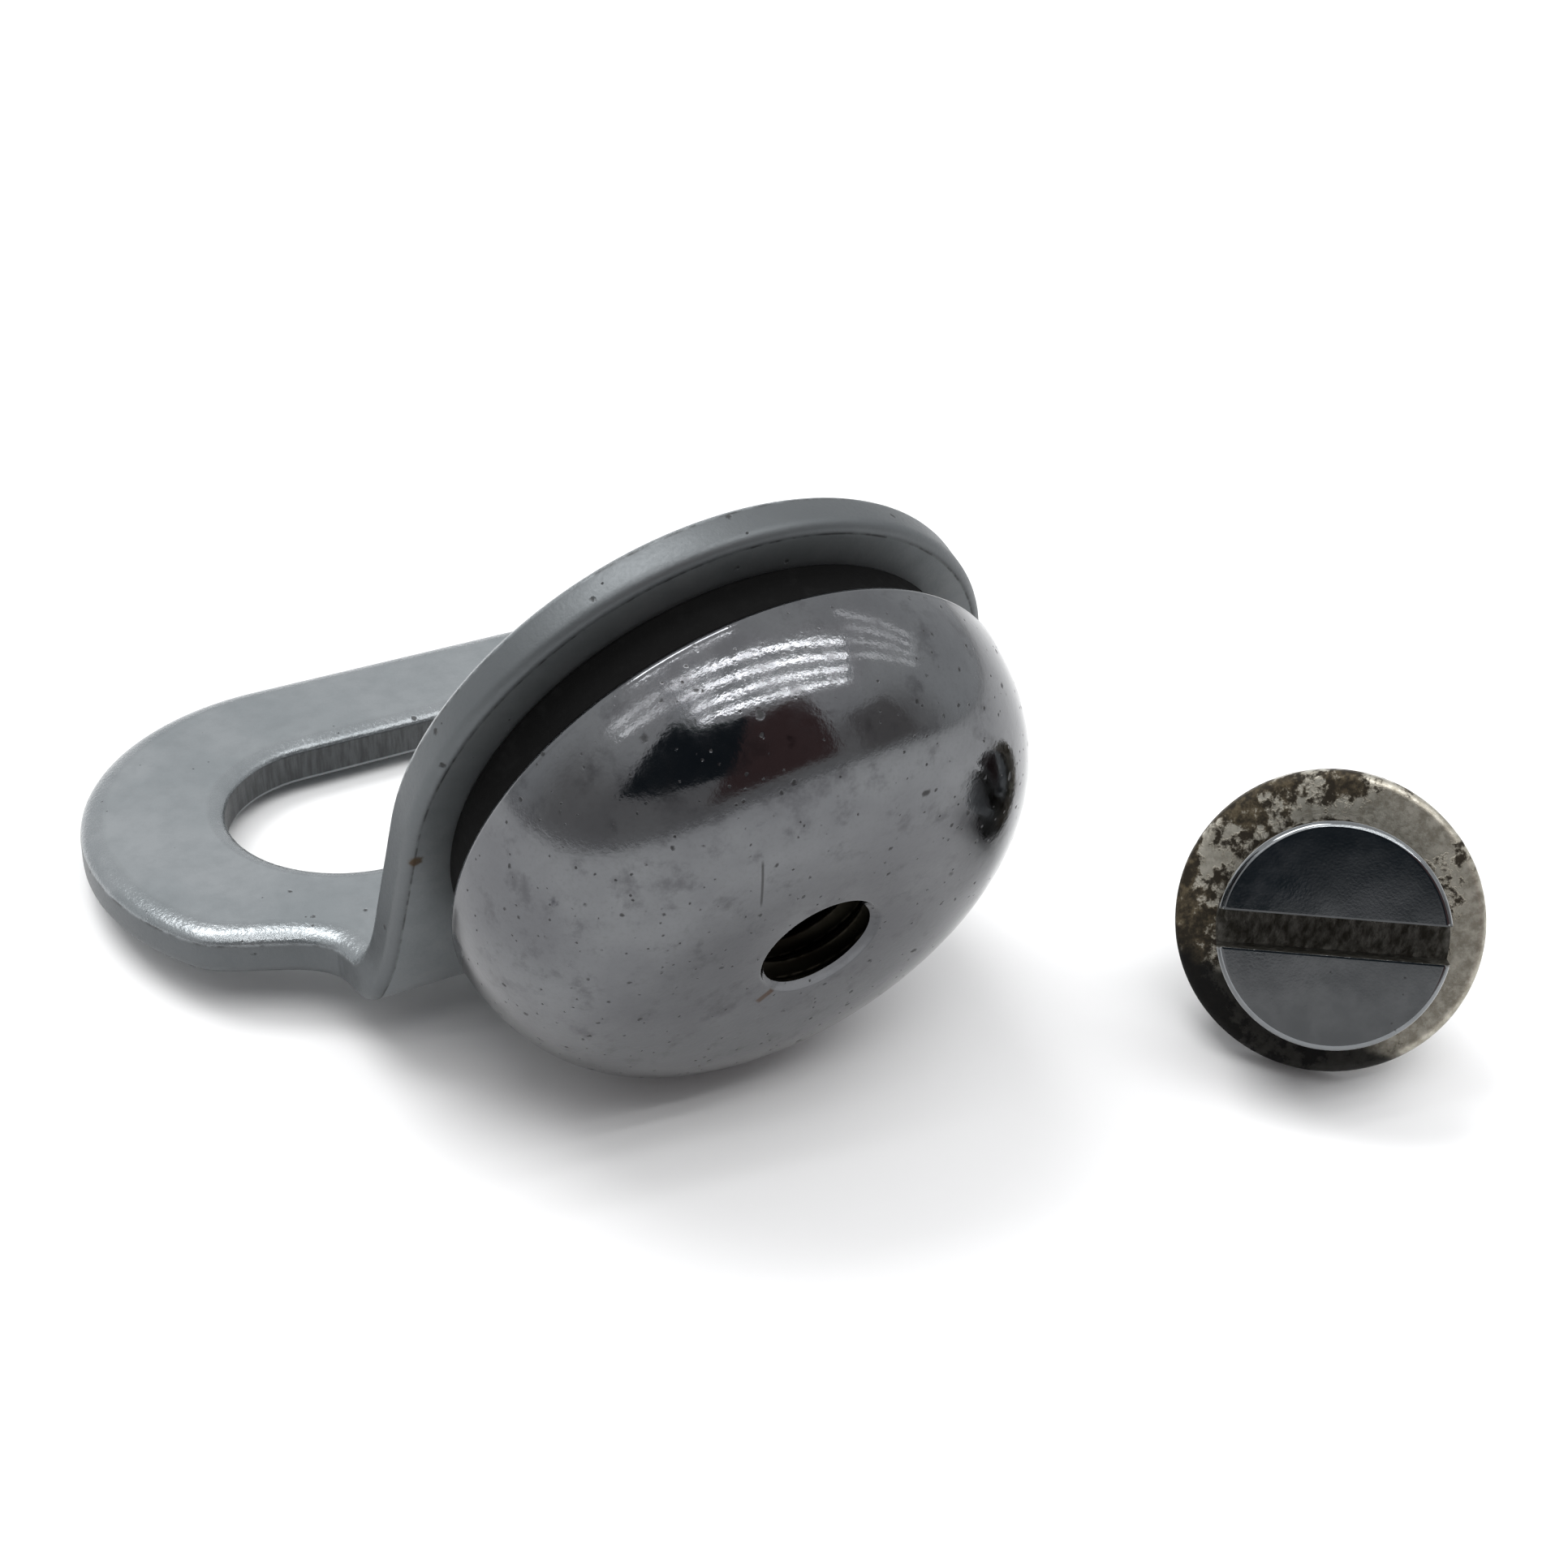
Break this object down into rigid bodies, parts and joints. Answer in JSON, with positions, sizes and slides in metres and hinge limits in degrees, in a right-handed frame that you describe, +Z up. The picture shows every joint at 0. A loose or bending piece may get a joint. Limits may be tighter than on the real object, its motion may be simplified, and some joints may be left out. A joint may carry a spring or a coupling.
{
  "type": "floor door holder",
  "caption": "Bent steel door holder: a slotted foot screws down and a polished mushroom head on a rubber ring is gripped to hold the door; fixing screw and washer beside it.",
  "frame": {"origin": "on the table under the middle of the whole object's box, as it lies on the dome's edge and the foot's back edge", "axes": "+X along the bend and the slot, +Y from the dome back over the foot, +Z up from the table"},
  "size_m": [0.0522, 0.0454, 0.0259],
  "materials": {
    "plated_steel": "satin zinc plate, bluish grey",
    "polished_chrome": "polished, hazy, with fine pits",
    "black_rubber": "matte",
    "plain_steel": "plain",
    "screw_steel": "bright plated",
    "stained_steel": "dull, stained brown"
  },
  "bodies": {
    "holder": {"bracket": "plated_steel", "buffer_ring": "black_rubber", "spacer_sleeve": "plain_steel", "lock_washer": "plain_steel"},
    "head": {"dome_head": "polished_chrome"},
    "clamp_screw": {"clamp_screw": "screw_steel"},
    "fixing_washer": {"fixing_washer": "stained_steel"},
    "fixing_screw": {"fixing_screw": "screw_steel"}
  },
  "joints": [
    {"name": "head_turn", "type": "hinge", "parent": "holder", "child": "head", "pos_m": [-0.00527, -0.00347, 0.01281], "axis": [0, -0.9761, -0.2175], "continuous": true},
    {"name": "clamp_screw_turn", "type": "hinge", "parent": "holder", "child": "clamp_screw", "pos_m": [-0.00527, -0.00347, 0.01281], "axis": [0, -0.9761, -0.2175], "continuous": true},
    {"name": "fixing_washer_lift", "type": "slide", "parent": "holder", "child": "fixing_washer", "axis": [0, 0, 1], "range_m": [0, 0.06]},
    {"name": "fixing_screw_pull", "type": "slide", "parent": "fixing_washer", "child": "fixing_screw", "axis": [-0.6276, -0.5956, 0.5013], "range_m": [0, 0.012]}
  ]
}
